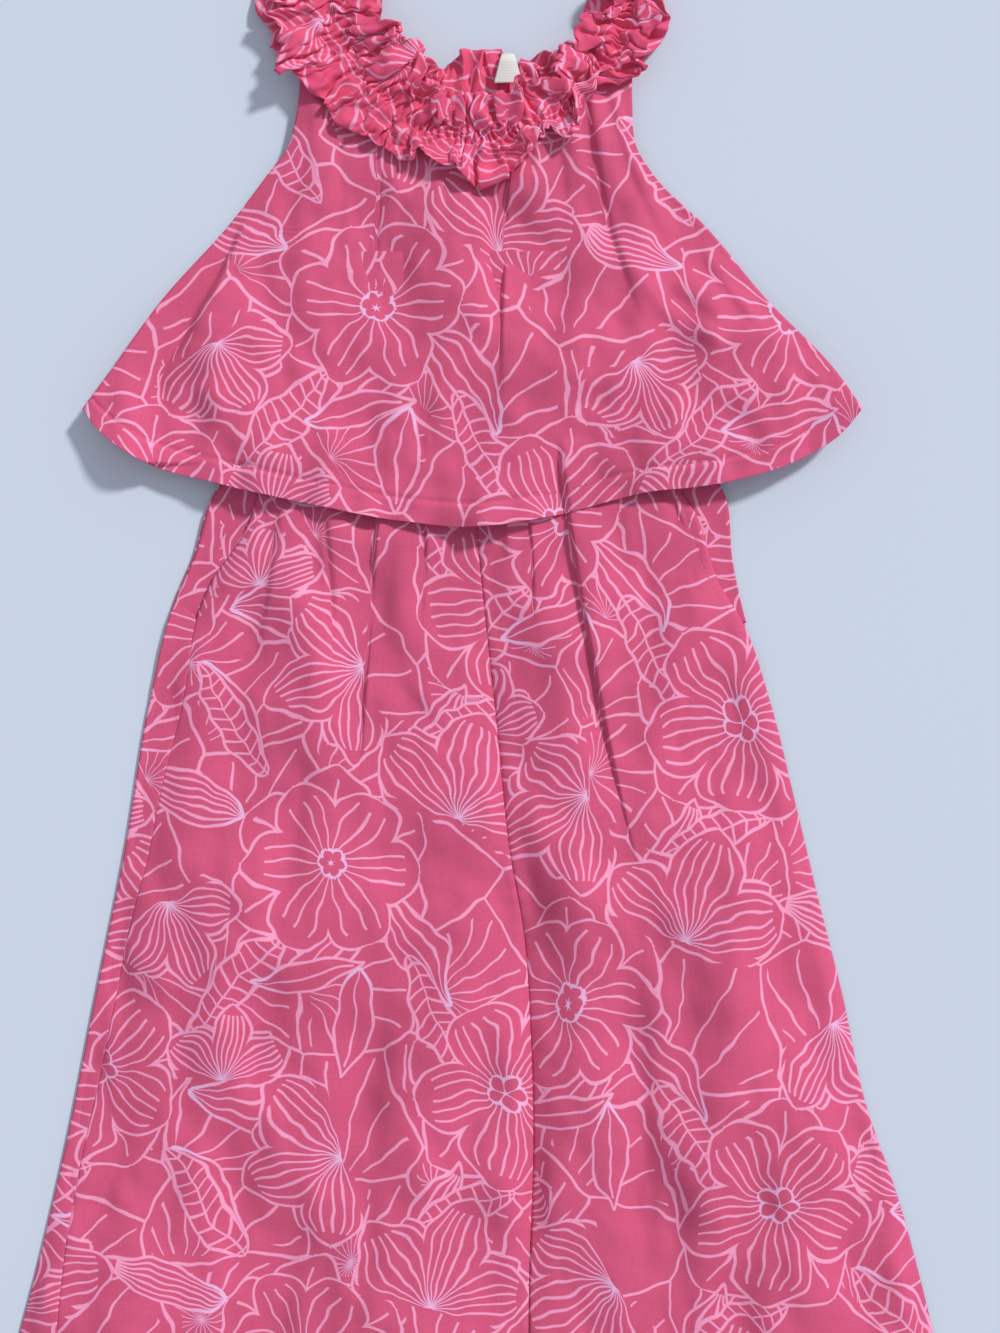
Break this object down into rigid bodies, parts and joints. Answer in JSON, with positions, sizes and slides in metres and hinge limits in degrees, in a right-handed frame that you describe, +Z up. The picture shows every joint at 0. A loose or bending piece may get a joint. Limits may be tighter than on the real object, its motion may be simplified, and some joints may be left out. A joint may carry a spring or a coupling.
{
  "type": "baby romper",
  "caption": "Sleeveless wide-leg toddler popover romper with a gathered double neck ruffle, laid flat with its front up.",
  "frame": {"origin": "on the surface the garment lies on, under the middle of its outline", "axes": "+Y from the trouser hem towards the neck, +Z up out of the front, +X towards the wearer's left"},
  "size_m": [0.4825, 0.7401, 0.0203],
  "materials": {
    "printed_cotton": "soft matt plain weave, printed",
    "label_tape": "satin woven tape, blank"
  },
  "bodies": {
    "root": {"popover_front": "printed_cotton", "popover_back": "printed_cotton", "bodice_front": "printed_cotton", "bodice_back": "printed_cotton", "leg_front_left": "printed_cotton", "leg_front_right": "printed_cotton", "leg_back_left": "printed_cotton", "leg_back_right": "printed_cotton", "hip_left": "printed_cotton", "hip_right": "printed_cotton", "ruffle_front": "printed_cotton", "ruffle_back": "printed_cotton", "label": "label_tape"}
  },
  "joints": []
}
